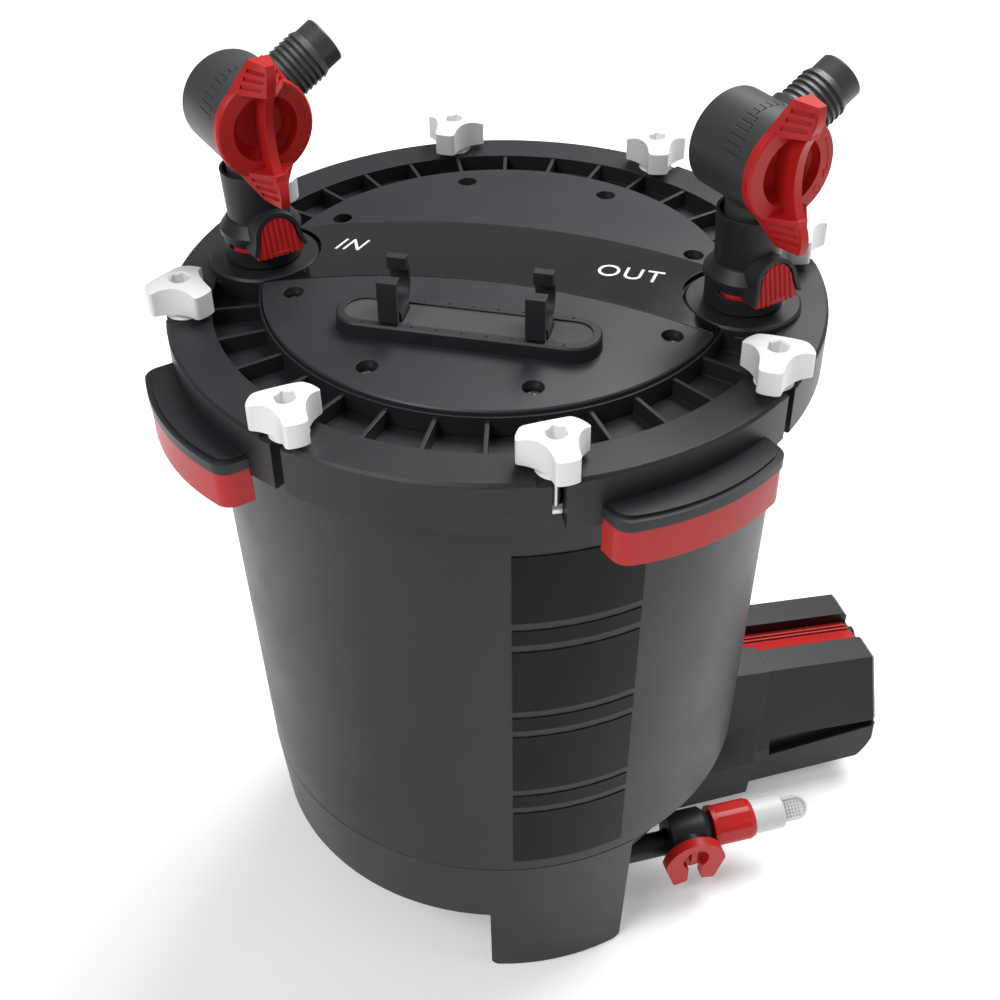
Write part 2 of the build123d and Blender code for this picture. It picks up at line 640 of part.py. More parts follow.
def release_button():
    """Ribbed button in the hood, on a fork that slides round the stem and locks the valve."""
    low = PLATE_LOW + 0.25
    high = PLATE_HIGH - 0.35
    plate = block(-4, 20, -17.8, 17.8, low, high) + block(7.4, 20, -18.8, 18.8, low, high)
    plate = plate & post(20.4, 410, 430)
    plate = plate + (block(12, 26, -13.0, 13.0, low, high) & post(BUTTON_FRONT + 0.6, 410, 430))
    slot = block(-30, BUTTON_TRAVEL + 0.1, -14.4, 14.4, 410, 430)
    plate = plate - slot - Pos(BUTTON_TRAVEL + 0.1, 0, 0) * post(14.4, 410, 430)
    face = hood(-0.3, 30, low) & leaning(BUTTON_FRONT, block(-3.4, 0, -20, 20, -2, 40))
    rib = leaning(BUTTON_FRONT, post(0.9, 0, 40))
    ribs = [Pos(0, 3.0 * k, 0) * rib & hood(-0.8, 30, low) for k in range(-3, 4)]
    return facing() * (plate + face + ribs)


# ---- Inside the tank -------------------------------------------------------------------
def riser_tube():
    """Carries the pump's flow up to the outlet port."""
    foot = RISER_FOOT
    port = at_port(1).position
    route = FilletPolyline((foot[0], foot[1], 81), (foot[0], foot[1], 101),
                           (port.X, port.Y, 112), (port.X, port.Y, 379.9), radius=10)
    section = Plane(origin=route @ 0, z_dir=route % 0)
    outside = sweep(section * Circle(RISER_R), path=route)
    inside = sweep(section * Circle(TAIL_BORE), path=route)
    return outside - inside


def intake_screen():
    tube = post(12, 300, 379.9) - post(10, 302, 381)
    for k in range(6):
        for z in range(312, 370, 9):
            tube = tube - Rot(0, 0, 30 * k) * Pos(0, 0, z) * Box(40, 3, 4)
    return at_port(-1) * tube


def basket_levels():
    return [BASKET_LOW + BASKET_STEP * k for k in range(3)]


def media_baskets():
    baskets = []
    for low in basket_levels():
        basket = turned([(0, low), (BASKET_R, low), (BASKET_R, low + 8), (BASKET_R - 2, low + 8),
                         (BASKET_R - 2, low + 3), (91, low + 3), (91, low + 79), (88, low + 79),
                         (88, low + 3), (0, low + 3)])
        for ring_r, count in ((22, 6), (44, 12), (66, 18)):
            for k in range(count):
                hole = at_bearing(360 / count * k, ring_r) * post(5, low - 1, low + 4)
                basket = basket - hole
        baskets.append(basket)
    return Compound(children=baskets)


def basket_foams():
    foams = []
    for low in basket_levels():
        foams.append(post(108.4, low + 3.1, low + 78) - post(91.6, low, low + 90))
    return Compound(children=foams)


def basket_covers():
    covers = []
    for low in basket_levels():
        cover = post(90.6, low + 79.05, low + 82) - Pos(0, 0, low + 79) * Box(14.6, 66.6, 20)
        for k in range(12):
            cover = cover - at_bearing(15 + 30 * k, 62) * post(7, low + 70, low + 90)
        covers.append(cover)
    return Compound(children=covers)


def lift_bars():
    bars = []
    for low in basket_levels():
        bar = block(-7, 7, -33, 33, low + 73, low + 78)
        for y in (-29, 29):
            bar = bar + block(-5, 5, y - 4, y + 4, low + 3.05, low + 74)
        bars.append(bar)
    return Compound(children=bars)


def basket_stand():
    """Ring on three legs that carries the baskets clear of the pump."""
    stand = post(100, 114, 119.9) - post(84, 110, 130)
    for bearing in (20, 215, 290):
        leg = block(84, 90, -6, 6, 60, 116) + block(70, 88, -6, 6, 60, 66)
        stand = stand + at_bearing(bearing) * (leg + block(70, 76, -6, 6, 31.2, 66))
    return stand


# ---- Pump and motor --------------------------------------------------------------------
def motor_top(s):
    return MOTOR_TOP_OUT + (MOTOR_OUT - s) * tan(radians(MOTOR_SLOPE))


def motor_bottom(s):
    return MOTOR_BOTTOM_OUT - (MOTOR_OUT - s) * tan(radians(2.0))


def motor_section(s, grow=0.0):
    """Flared section of the motor housing, wide at the foot."""
    top = motor_top(s) + grow
    low = motor_bottom(s) - grow
    half = [(32 + grow, top), (50 + grow, low + 34), (52 + grow, low + 8), (45 + grow, low)]
    points = half + [(-x, z) for x, z in reversed(half)]
    face = make_face(Polyline(*points, close=True))
    face = fillet(face.vertices().group_by(Axis.Y)[0], 6.0)
    return motor_frame(s) * (Plane.YZ * face)


def motor_solid(s0, s1, grow=0.0):
    return loft([motor_section(s, grow).face() for s in (s0, s1)])


def motor_case():
    """Flared housing with a groove along its top and a blind well for the magnet rotor."""
    case = motor_solid(MOTOR_IN, MOTOR_OUT)
    end = case.faces().sort_by(motor_axis())[-1]
    case = chamfer(end.edges(), 2.5) & motor_profile()
    case = case - top_groove()
    case = case + along_motor(CHAMBER_R, CHAMBER_OUT + 0.05, MOTOR_IN + 1)
    case = case + along_motor(CHAMBER_BORE - 0.3, CHAMBER_OUT - 14, CHAMBER_OUT + 1)
    case = case - (along_motor(CHAMBER_BORE + 1, CHAMBER_OUT - 9, CHAMBER_OUT - 4.8)
                   - along_motor(CHAMBER_BORE - 3.2, 130, 160))
    case = case - along_motor(WELL_R, CHAMBER_OUT - 20, WELL_END)
    case = case - (along_motor(STATOR_R + 0.02, *STATOR) - along_motor(17.2, 160, 220))
    case = case - side_recess(1) - side_recess(-1) - motor_feet(0.02)
    return case - along_motor(5.2, MOTOR_OUT - 8, MOTOR_OUT + 5, *GLAND)


def motor_profile():
    """Side view of the housing, round at its lower outer corner."""
    start = MOTOR_IN - 2
    corners = [(start, motor_bottom(start) - 0.01), (MOTOR_OUT, motor_bottom(MOTOR_OUT) - 0.01)]
    corners += [(MOTOR_OUT, 120), (start, 120)]
    outline = make_face(Polyline(*corners, close=True))
    outer_low = outline.vertices().sort_by(Axis.X)[-2:].sort_by(Axis.Y)[0]
    return motor_frame() * extrude(Plane.XZ * fillet(outer_low, MOTOR_CORNER), 80, both=True)


def groove_frame():
    """Local X runs down the slope of the motor's top, local Z is square to it."""
    return motor_frame(MOTOR_IN, 0, motor_top(MOTOR_IN)) * Rot(0, MOTOR_SLOPE, 0)


def top_groove():
    return groove_frame() * block(-20, 120, -12, 12, -9, 20)


def motor_strip():
    """Red strip that lies aslant in the groove, with thin ridges beside it."""
    outline = make_face(Plane.YZ * Polyline((-11.9, -3.4), (-11.9, -8.9), (1.6, -8.9), (1.6, -7.2),
                                            close=True))
    strip = Pos(0.5, 0, 0) * extrude(outline, 97.5)
    ridges = [Pos(0, y, 0) * block(0.5, 97.5, -0.6, 0.6, -8.9, -6.6) for y in (4.4, 7.4)]
    base = block(0.5, 97.5, 1.0, 11.9, -8.9, -8.2)
    return groove_frame() * (strip + base + ridges)


def motor_bracket():
    """Collar that leans back from the tank and holds the motor on its near and far sides."""
    collar = motor_solid(92, 176, 4.5) - motor_solid(90, 180, 0.03)
    lean = make_face(Plane.XZ * Polyline((138, 112), (95, 1), (155, 1), (173, 112), close=True))
    collar = collar & (motor_frame() * extrude(lean, 80, both=True))
    collar = collar - motor_frame() * block(80, 200, -12.2, 12.2, 80, 140)
    leg = [(LEG_IN - 6, 0), (200, 0), (200, 150), (LEG_IN - 6, 150)]
    collar = collar - sector(leg, LEG_BEARINGS[1], LEG_SPAN + 1)
    bowl = [(0, 0), (60, 0), (BOWL[3][0] + 0.5, 26), (BOWL[2][0] + 1, BOWL[2][1])]
    bowl += [(BOWL[1][0] + 0.6, BOWL[1][1]), (SEAM_R + 0.5, 104), (SEAM_R + 1, 160), (0, 160)]
    return collar - turned(bowl) - along_motor(CHAMBER_R + 0.02, 60, 156)


def motor_stator():
    return along_motor(STATOR_R, STATOR[0] + 0.02, STATOR[1] - 0.02) - along_motor(17.22, 160, 220)


def motor_seal():
    place = motor_frame(CHAMBER_OUT - 6.9, 0, MOTOR_AXIS_Z) * Rot(0, 90, 0)
    return place * Torus(CHAMBER_BORE - 1.65, 1.5)


def cable_gland():
    gland = along_motor(5.15, MOTOR_OUT - 7.9, MOTOR_OUT, *GLAND)
    gland = gland + along_motor(7.5, MOTOR_OUT, MOTOR_OUT + 4, *GLAND)
    collar = motor_frame(MOTOR_OUT + 4, *GLAND) * Rot(0, 90, 0) * cone(6.2, 4.6, 0, 8)
    return gland + collar - along_motor(3.2, 230, 280, *GLAND)


def impeller_cover():
    """Ring that closes the motor's front round the rotor."""
    front = CHAMBER_OUT - 14
    return along_motor(CHAMBER_BORE - 0.3, front - 5, front - 0.02) - along_motor(15.8, 120, 140)


def impeller():
    """Closed magnet rotor with curved vanes at its inner end."""
    body = along_motor(14.9, 130, 208) + along_motor(24, 124, 127)
    body = body + along_motor(9, 84, 131)
    vane = extrude(make_face(Plane.YZ * Polyline((3, -1), (24, 4), (24, 6), (3, 1.4), close=True)), 20)
    place = motor_frame(104.5, 0, MOTOR_AXIS_Z)
    vanes = [place * Rot(60 * k, 0, 0) * vane for k in range(6)]
    return body + vanes - along_motor(SHAFT_R + 0.05, 80, 210)


def impeller_shaft():
    return along_motor(SHAFT_R, CHAMBER_IN + 1, WELL_END - 0.02)


# ---- Purge valve -----------------------------------------------------------------------
def along_purge(r, s0, s1, z=0.0):
    return along_motor(r, s0, s1, PURGE_SIDE, PURGE_Z + z)


def stem_frame():
    """Local Z towards the near side, local X along the motor, at the purge valve's stem."""
    bearing = radians(MOTOR_BEARING)
    out = (sin(bearing), -cos(bearing), 0)
    near = (-cos(bearing), -sin(bearing), 0)
    place = motor_frame(STEM_S, PURGE_SIDE, PURGE_Z).position
    return Plane(origin=place, x_dir=out, z_dir=near)


def purge_body():
    body = along_purge(14.5, 82, 105) + along_purge(8.6, 104, 128)
    taper = motor_frame(105, PURGE_SIDE, PURGE_Z) * Rot(0, 90, 0) * cone(14.5, 9.6, 0, 5.5)
    collar = along_purge(9.0, 80.2, 84, -6)
    boss = stem_frame() * post(10.5, 0, 15)
    body = body + [taper, collar, boss]
    body = body - along_purge(4.5, 70, 140) - along_purge(4.5, 79, 86, -6)
    return body - stem_frame() * post(7.0, -12, 20)


def purge_lever():
    """Red arch with two legs, on the plug that opens and shuts the purge valve."""
    tips = [(-4.4, -19.0), (-13.5, -21.0), (-20.0, -3.0)]
    right = [(-x, y) for x, y in reversed(tips)]
    outline = [Polyline(*tips), ThreePointArc(tips[-1], (0, 15), right[0]), Polyline(*right)]
    outline.append(Line(right[-1], tips[0]))
    face = make_face(Curve() + outline) - Pos(0, 0.5) * Circle(8.6) - Pos(0, -10) * Rectangle(9, 24)
    plate = extrude(face, 6.5)
    corners = plate.edges().filter_by(Axis.Z).filter_by(lambda e: e.center().Y < -15)
    plate = fillet(corners, 2.0)
    plug = post(6.95, -11.6, 16) + post(11.5, 15.4, 17.4) + block(-2, 2, -6, 6, 17, 20)
    plug = plug - Rot(0, 90, 0) * Cylinder(4.4, 30)
    return stem_frame() * (Pos(0, 0, 16.4) * plate + plug)


def purge_nut():
    grip = extrude(RegularPolygon(14.0, 8), NUT[1] - NUT[0] - 3) & post(13.4, 0, 40)
    grip = Rot(0, 0, 10) * grip + post(13.6, 0, 3)
    grip = grip + cone(13.2, 12.2, NUT[1] - NUT[0] - 3, NUT[1] - NUT[0])
    nut = motor_frame(NUT[0], PURGE_SIDE, PURGE_Z) * Rot(0, 90, 0) * grip
    return nut - along_purge(8.65, 100, 150)


def purge_cap():
    """Plug with a flat dimpled tab to pull it by."""
    cap = along_purge(11, 139.4, 160) + along_purge(8.2, 129, 140)
    rim = cap.edges().sort_by(motor_axis())[-1:]
    cap = fillet(rim, 1.2)
    tab = extrude(SlotCenterToCenter(22, 15.5), 4.2) & block(-2, 40, -10, 10, 0, 5)
    tab = tab - (extrude(SlotCenterToCenter(22, 12.5), 10) & block(3, 40, -10, 10, 3.4, 9))
    bump = post(0.6, 3.3, 4.0)
    bumps = [Pos(4.8 + 2.2 * i, 2.2 * j, 0) * bump for i in range(5) for j in range(-2, 3)]
    tab = Pos(0, 0, -2.1) * (tab + bumps)
    place = motor_frame(159.5, PURGE_SIDE, PURGE_Z) * Rot(42, 0, 0)
    return cap + place * tab


def motor_axis():
    bearing = radians(MOTOR_BEARING)
    return Axis((0, 0, 0), (sin(bearing), -cos(bearing), 0))


def side_recess(side):
    """Long tapering recess in the side of the motor housing."""
    outline = make_face(Polyline((MOTOR_IN + 20, 36), (MOTOR_OUT + 6, 44), (MOTOR_OUT + 6, 47),
                                 (MOTOR_IN + 20, 50), close=True))
    cutter = extrude(Plane.XZ * outline, 12)
    near = side * 44.5
    y = -near if side > 0 else -near + 12
    return motor_frame() * Pos(0, y, 0) * cutter


# ---- Every piece by name ---------------------------------------------------------------
def valve_pieces(side):
    """The same valve stands on both ports."""
    place = at_port(1 if side == "out" else -1)
    return {
        f"{side}_valve_socket": place * valve_socket(),
        f"{side}_valve_barrel": place * valve_barrel(),
        f"{side}_valve_lever": place * valve_lever(),
        f"{side}_valve_ball": place * valve_ball(),
        f"{side}_release_button": place * release_button(),
    }


def fastener_pieces():
    pieces = {}
    bolt = swing_bolt()
    nut = knob()
    for k, bearing in enumerate(bolt_bearings()):
        pieces[f"swing_bolt_{k + 1}"] = at_bearing(bearing) * bolt
        pieces[f"knob_{k + 1}"] = at_bearing(bearing, BOLT_R) * Rot(0, 0, KNOB_SPINS[k]) * nut
    return pieces


def model():
    makers = (canister_body, base_skirt, rubber_feet, handle_grips, handle_bands, side_panel, lid,
              lid_seal, cover_plate, badge_band, cover_screws, clip_tray, tray_insert, hose_clips,
              intake_screen, riser_tube, media_baskets, basket_foams, basket_covers, lift_bars,
              basket_stand, motor_case, motor_strip, motor_bracket, motor_stator, motor_seal,
              impeller_cover, impeller, impeller_shaft, cable_gland, purge_body, purge_lever,
              purge_nut, purge_cap)
    pieces = {maker.__name__: maker() for maker in makers}
    for side in ("in", "out"):
        pieces.update(valve_pieces(side))
    pieces.update(fastener_pieces())
    return pieces


def main():
    os.makedirs("parts", exist_ok=True)
    for name, shape in model().items():
        export_step(shape, f"parts/{name}.step")


if __name__ == "__main__":
    main()
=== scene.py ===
import json
from math import cos, radians, sin

import bmesh
import bpy
from mathutils import Matrix, Vector


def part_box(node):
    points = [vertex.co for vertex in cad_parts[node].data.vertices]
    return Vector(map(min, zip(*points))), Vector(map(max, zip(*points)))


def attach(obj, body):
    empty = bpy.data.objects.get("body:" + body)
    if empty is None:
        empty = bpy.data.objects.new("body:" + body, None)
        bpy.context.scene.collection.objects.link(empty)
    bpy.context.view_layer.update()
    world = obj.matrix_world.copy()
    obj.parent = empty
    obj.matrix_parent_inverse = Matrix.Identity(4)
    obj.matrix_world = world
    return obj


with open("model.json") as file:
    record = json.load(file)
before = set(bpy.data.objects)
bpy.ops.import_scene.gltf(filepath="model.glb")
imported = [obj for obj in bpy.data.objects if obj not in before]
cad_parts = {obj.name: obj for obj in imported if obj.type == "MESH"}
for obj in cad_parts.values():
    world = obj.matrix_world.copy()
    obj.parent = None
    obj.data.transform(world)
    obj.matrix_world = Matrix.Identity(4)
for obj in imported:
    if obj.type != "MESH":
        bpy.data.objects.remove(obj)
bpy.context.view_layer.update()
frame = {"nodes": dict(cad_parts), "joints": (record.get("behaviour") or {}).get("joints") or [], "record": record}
NODES = frame["nodes"]

MM = 0.001
SIDES = ("in", "out")
BADGE_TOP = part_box("badge_band")[1].z


# ---- Materials -------------------------------------------------------------------------
class Surface:
    """A Principled material built up from a few procedural layers."""

    def __init__(self, name, colour, roughness, metallic=0.0, specular=0.5):
        self.material = bpy.data.materials.new(name)
        self.material.use_nodes = True
        self.tree = self.material.node_tree
        self.shader = self.tree.nodes["Principled BSDF"]
        self.shader.inputs["Metallic"].default_value = metallic
        self.shader.inputs["Specular IOR Level"].default_value = specular
        self.place = self.node("ShaderNodeTexCoord").outputs["Object"]
        self.colour = None
        self.set_colour(colour)
        self.shader.inputs["Roughness"].default_value = roughness
        self.normal = None

    def node(self, kind, **settings):
        made = self.tree.nodes.new(kind)
        for key, value in settings.items():
            setattr(made, key, value)
        return made

    def feed(self, target, value):
        if isinstance(value, bpy.types.NodeSocket):
            self.tree.links.new(value, target)
        else:
            target.default_value = value

    def set_colour(self, colour):
        self.plain = (*colour, 1.0)
        self.shader.inputs["Base Color"].default_value = self.plain

    def noise(self, scale, detail=3.0, stretch=None):
        place = self.place
        if stretch:
            mapping = self.node("ShaderNodeMapping")
            mapping.inputs["Scale"].default_value = stretch
            self.feed(mapping.inputs["Vector"], place)
            place = mapping.outputs["Vector"]
        texture = self.node("ShaderNodeTexNoise")
        texture.inputs["Scale"].default_value = scale
        texture.inputs["Detail"].default_value = detail
        self.feed(texture.inputs["Vector"], place)
        return texture.outputs["Fac"]

    def cells(self, scale):
        texture = self.node("ShaderNodeTexVoronoi", feature="F1")
        texture.inputs["Scale"].default_value = scale
        self.feed(texture.inputs["Vector"], self.place)
        return texture.outputs["Distance"]

    def ranged(self, value, low, high, to_low, to_high):
        made = self.node("ShaderNodeMapRange")
        self.feed(made.inputs["Value"], value)
        for key, amount in (("From Min", low), ("From Max", high),
                            ("To Min", to_low), ("To Max", to_high)):
            made.inputs[key].default_value = amount
        return made.outputs["Result"]

    def mixed(self, share, under, over):
        made = self.node("ShaderNodeMix", data_type="RGBA", blend_type="MIX")
        self.feed(made.inputs["Factor"], share)
        self.feed(made.inputs[6], under)
        self.feed(made.inputs[7], over)
        return made.outputs[2]

    def base(self):
        return self.colour if self.colour is not None else self.plain

    def paint(self, share, over):
        """Lays another colour over the present one where share is high."""
        self.colour = self.mixed(share, self.base(), over)
        self.feed(self.shader.inputs["Base Color"], self.colour)
        return self

    def mottle(self, scale, amount, detail=4.0):
        """Slow drift of the colour, as in a moulded batch."""
        dark = tuple(c * (1 - amount) for c in self.plain[:3]) + (1.0,)
        light = tuple(min(1.0, c * (1 + amount)) for c in self.plain[:3]) + (1.0,)
        share = self.ranged(self.noise(scale, detail), 0.3, 0.7, 0.0, 1.0)
        self.colour = self.mixed(share, dark, light)
        self.feed(self.shader.inputs["Base Color"], self.colour)
        return self

    def vary_gloss(self, scale, low, high, stretch=None):
        value = self.ranged(self.noise(scale, 4.0, stretch), 0.3, 0.7, low, high)
        self.feed(self.shader.inputs["Roughness"], value)
        return self

    def bump(self, height, depth):
        made = self.node("ShaderNodeBump")
        made.inputs["Distance"].default_value = depth
        made.inputs["Strength"].default_value = 1.0
        self.feed(made.inputs["Height"], height)
        if self.normal is not None:
            self.feed(made.inputs["Normal"], self.normal)
        self.normal = made.outputs["Normal"]
        self.feed(self.shader.inputs["Normal"], self.normal)
        return self

    def soft_edges(self, radius, wear=None, amount=0.0):
        """Rounds the edges in the shading, and rubs them lighter where wear is given."""
        bevel = self.node("ShaderNodeBevel", samples=4)
        bevel.inputs["Radius"].default_value = radius
        self.normal = bevel.outputs["Normal"]
        self.feed(self.shader.inputs["Normal"], self.normal)
        if wear:
            flat = self.node("ShaderNodeNewGeometry").outputs["True Normal"]
            dot = self.node("ShaderNodeVectorMath", operation="DOT_PRODUCT")
            self.feed(dot.inputs[0], self.normal)
            self.feed(dot.inputs[1], flat)
            edge = self.ranged(dot.outputs["Value"], 0.995, 0.86, 0.0, amount)
            patch = self.ranged(self.noise(90.0, 5.0), 0.42, 0.62, 0.25, 1.0)
            share = self.node("ShaderNodeMath", operation="MULTIPLY")
            self.feed(share.inputs[0], edge)
            self.feed(share.inputs[1], patch)
            self.paint(share.outputs[0], (*wear, 1.0))
        return self

    def coat(self, weight, roughness):
        self.shader.inputs["Coat Weight"].default_value = weight
        self.shader.inputs["Coat Roughness"].default_value = roughness
        return self


def moulded(name, colour, gloss, wear, grain=0.00002, edge=0.0006, specular=0.3):
    """Spark-eroded moulded plastic: fine grain, slow drift in gloss and rubbed edges."""
    surface = Surface(name, colour, sum(gloss) / 2, specular=specular)
    surface.mottle(14.0, 0.06)
    surface.soft_edges(edge, wear, 0.55)
    surface.vary_gloss(22.0, *gloss)
    surface.bump(surface.noise(1500.0, 2.0), grain)
    surface.bump(surface.noise(60.0, 2.0), grain * 3)
    return surface.material


def polished(name, colour, gloss, ripple=0.00002, coat=0.35, specular=0.5):
    """Polished moulding with the faint waviness of a flat plastic face."""
    surface = Surface(name, colour, sum(gloss) / 2, specular=specular)
    surface.mottle(18.0, 0.05)
    surface.soft_edges(0.0004, tuple(min(1.0, c * 1.6 + 0.02) for c in colour), 0.4)
    surface.vary_gloss(40.0, *gloss)
    surface.bump(surface.noise(45.0, 2.0), ripple)
    surface.coat(coat, 0.06)
    return surface.material


def rubber():
    surface = Surface("rubber_black", (0.018, 0.018, 0.019), 0.7, specular=0.35)
    surface.mottle(30.0, 0.15)
    surface.soft_edges(0.0005, (0.05, 0.05, 0.05), 0.4)
    surface.vary_gloss(60.0, 0.62, 0.82)
    surface.bump(surface.noise(900.0, 3.0), 0.00004)
    return surface.material


def turned_steel():
    """Stainless rod with fine turning marks round it."""
    surface = Surface("steel", (0.56, 0.56, 0.55), 0.28, metallic=1.0)
    surface.mottle(50.0, 0.08)
    surface.soft_edges(0.0003)
    surface.vary_gloss(300.0, 0.2, 0.38, stretch=(1, 1, 12))
    surface.bump(surface.noise(400.0, 2.0, stretch=(1, 1, 14)), 0.00001)
    return surface.material


def foam():
    surface = Surface("foam_black", (0.022, 0.022, 0.024), 0.95, specular=0.1)
    pores = surface.cells(520.0)
    # Painted shade: the pits of the pores, lowest in the bump, are painted darker where their shade falls.
    surface.paint(surface.ranged(pores, 0.15, 0.5, 0.8, 0.0), (0.004, 0.004, 0.004, 1.0))
    surface.bump(pores, 0.0008)
    surface.bump(surface.noise(240.0, 4.0), 0.0004)
    return surface.material


def winding():
    """Varnished copper turns round the stator."""
    surface = Surface("copper_coil", (0.42, 0.16, 0.06), 0.3, metallic=0.8)
    surface.mottle(80.0, 0.2)
    surface.soft_edges(0.0004)
    turns = surface.node("ShaderNodeTexWave", wave_type="BANDS", bands_direction="Z")
    turns.inputs["Scale"].default_value = 260.0
    turns.inputs["Distortion"].default_value = 0.6
    surface.feed(turns.inputs["Vector"], surface.place)
    surface.bump(turns.outputs["Fac"], 0.0003)
    surface.coat(0.5, 0.12)
    return surface.material


def sinter():
    surface = Surface("ceramic", (0.78, 0.77, 0.73), 0.25)
    surface.mottle(120.0, 0.04)
    surface.vary_gloss(200.0, 0.18, 0.34)
    surface.bump(surface.noise(1800.0, 2.0), 0.000008)
    return surface.material


MATERIALS = {
    "charcoal_plastic": moulded("charcoal_plastic", (0.0155, 0.0162, 0.0192), (0.38, 0.46),
                                (0.07, 0.07, 0.075)),
    "cover_plastic": moulded("cover_plastic", (0.022, 0.0228, 0.0265), (0.34, 0.42),
                             (0.08, 0.08, 0.085)),
    "gloss_black": polished("gloss_black", (0.004, 0.004, 0.005), (0.1, 0.17)),
    "red_plastic": moulded("red_plastic", (0.42, 0.012, 0.011), (0.34, 0.42),
                           (0.55, 0.06, 0.06), grain=0.000012, edge=0.0005),
    "white_plastic": moulded("white_plastic", (0.76, 0.765, 0.775), (0.3, 0.38),
                             (0.86, 0.86, 0.86), grain=0.00001, edge=0.0005),
    "grey_plastic": moulded("grey_plastic", (0.55, 0.555, 0.56), (0.36, 0.44),
                            (0.7, 0.7, 0.7), grain=0.000012, edge=0.0005),
    "smoke_insert": polished("smoke_insert", (0.055, 0.057, 0.06), (0.08, 0.15)),
    "steel": turned_steel(),
    "rubber_black": rubber(),
    "foam_black": foam(),
    "media_tray": moulded("media_tray", (0.06, 0.06, 0.065), (0.46, 0.55), (0.15, 0.15, 0.15)),
    "rotor": moulded("rotor", (0.30, 0.31, 0.33), (0.4, 0.5), (0.5, 0.5, 0.5)),
    "copper_coil": winding(),
    "ceramic": sinter(),
}


PANEL_BLACK = polished("panel_black", (0.0015, 0.0015, 0.0018), (0.3, 0.38), coat=0.0,
                       specular=0.12)
# Painted light: a lighter copy of the charcoal plastic, with stronger specular, for the valve barrels.
VALVE_PLASTIC_PAINTED_LIGHT = moulded("valve_plastic_painted_light", (0.034, 0.035, 0.038), (0.36, 0.44),
                        (0.1, 0.1, 0.105), specular=0.5)
# Painted shade: a darker copy of the charcoal plastic for the motor case and its bracket.
MOTOR_PLASTIC_PAINTED_SHADE = moulded("motor_plastic_painted_shade", (0.009, 0.0092, 0.0105), (0.32, 0.4),
                        (0.06, 0.06, 0.065))
# The side panel's own finish, and the copies of the charcoal plastic that paint light onto the valve barrels and
# shade onto the motor.
OWN_FINISH_AND_PAINTED_LIGHT = {
    "side_panel": PANEL_BLACK,
    "in_valve_barrel": VALVE_PLASTIC_PAINTED_LIGHT,
    "out_valve_barrel": VALVE_PLASTIC_PAINTED_LIGHT,
    "motor_case": MOTOR_PLASTIC_PAINTED_SHADE,
    "motor_bracket": MOTOR_PLASTIC_PAINTED_SHADE,
}


def dress_cad_nodes():
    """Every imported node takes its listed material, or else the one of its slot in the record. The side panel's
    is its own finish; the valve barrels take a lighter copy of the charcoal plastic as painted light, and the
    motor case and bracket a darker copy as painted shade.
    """
    for part in frame["record"]["subparts"]:
        node = part["node"]
        mesh = NODES[node].data
        mesh.materials.clear()
        mesh.materials.append(OWN_FINISH_AND_PAINTED_LIGHT.get(node, MATERIALS[part["material_slot"]]))


# ---- Small moulded and printed details ---------------------------------------------------
def mesh_piece(name, shape, slot, body):
    """Turns a bmesh into a piece that wears a slot's material and rides on a body."""
    bmesh.ops.recalc_face_normals(shape, faces=shape.faces)
    mesh = bpy.data.meshes.new(name)
    shape.to_mesh(mesh)
    shape.free()
    mesh.materials.append(MATERIALS[slot])
    piece = bpy.data.objects.new(name, mesh)
    bpy.context.scene.collection.objects.link(piece)
    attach(piece, body)
    return piece


def add_strip(shape, place, path, width, height, closed=False):
    """A flat-topped raised line along a plane path, with slightly sloping sides."""
    rings = []
    count = len(path)
    for k, point in enumerate(path):
        before = path[k - 1] if k or closed else point
        after = path[(k + 1) % count] if k < count - 1 or closed else point
        along = (after - before).normalized()
        side = Vector((-along.y, along.x))
        corners = []
        for across, rise in ((-0.5, 0.0), (-0.38, 1.0), (0.38, 1.0), (0.5, 0.0)):
            flat = point + side * (across * width)
            corners.append(shape.verts.new(place @ Vector((flat.x, flat.y, rise * height))))
        rings.append(corners)
    steps = count if closed else count - 1
    for k in range(steps):
        one, two = rings[k], rings[(k + 1) % count]
        for j in range(4):
            shape.faces.new((one[j], one[(j + 1) % 4], two[(j + 1) % 4], two[j]))
    if not closed:
        shape.faces.new(rings[0])
        shape.faces.new(rings[-1][::-1])


def add_wedge(shape, place, corners, height):
    """A raised flat shape with straight sides."""
    low = [shape.verts.new(place @ Vector((x, y, 0.0))) for x, y in corners]
    high = [shape.verts.new(place @ Vector((x, y, height))) for x, y in corners]
    shape.faces.new(low[::-1])
    shape.faces.new(high)
    for k in range(len(corners)):
        after = (k + 1) % len(corners)
        shape.faces.new((low[k], low[after], high[after], high[k]))


def clock(r, degrees):
    """A point at a clock angle: 0 is up and angles run clockwise."""
    return Vector((r * sin(radians(degrees)), r * cos(radians(degrees))))


LABEL_CAP = 11.3 * MM
LABEL_LIFT = 0.22 * MM
LABEL_Y = 10.6 * MM
LABEL_SPACING = 1.12
LABEL_DROP = 10.0 * MM
WELD = 1e-5
# The word, the place of its middle along the band, its width against the plain letters'
# and its slant.
LABELS = {
    "in": ("IN", -81.5 * MM, 0.85, 0.3),
    "out": ("OUT", 68.0 * MM, 0.95, 0.12),
}


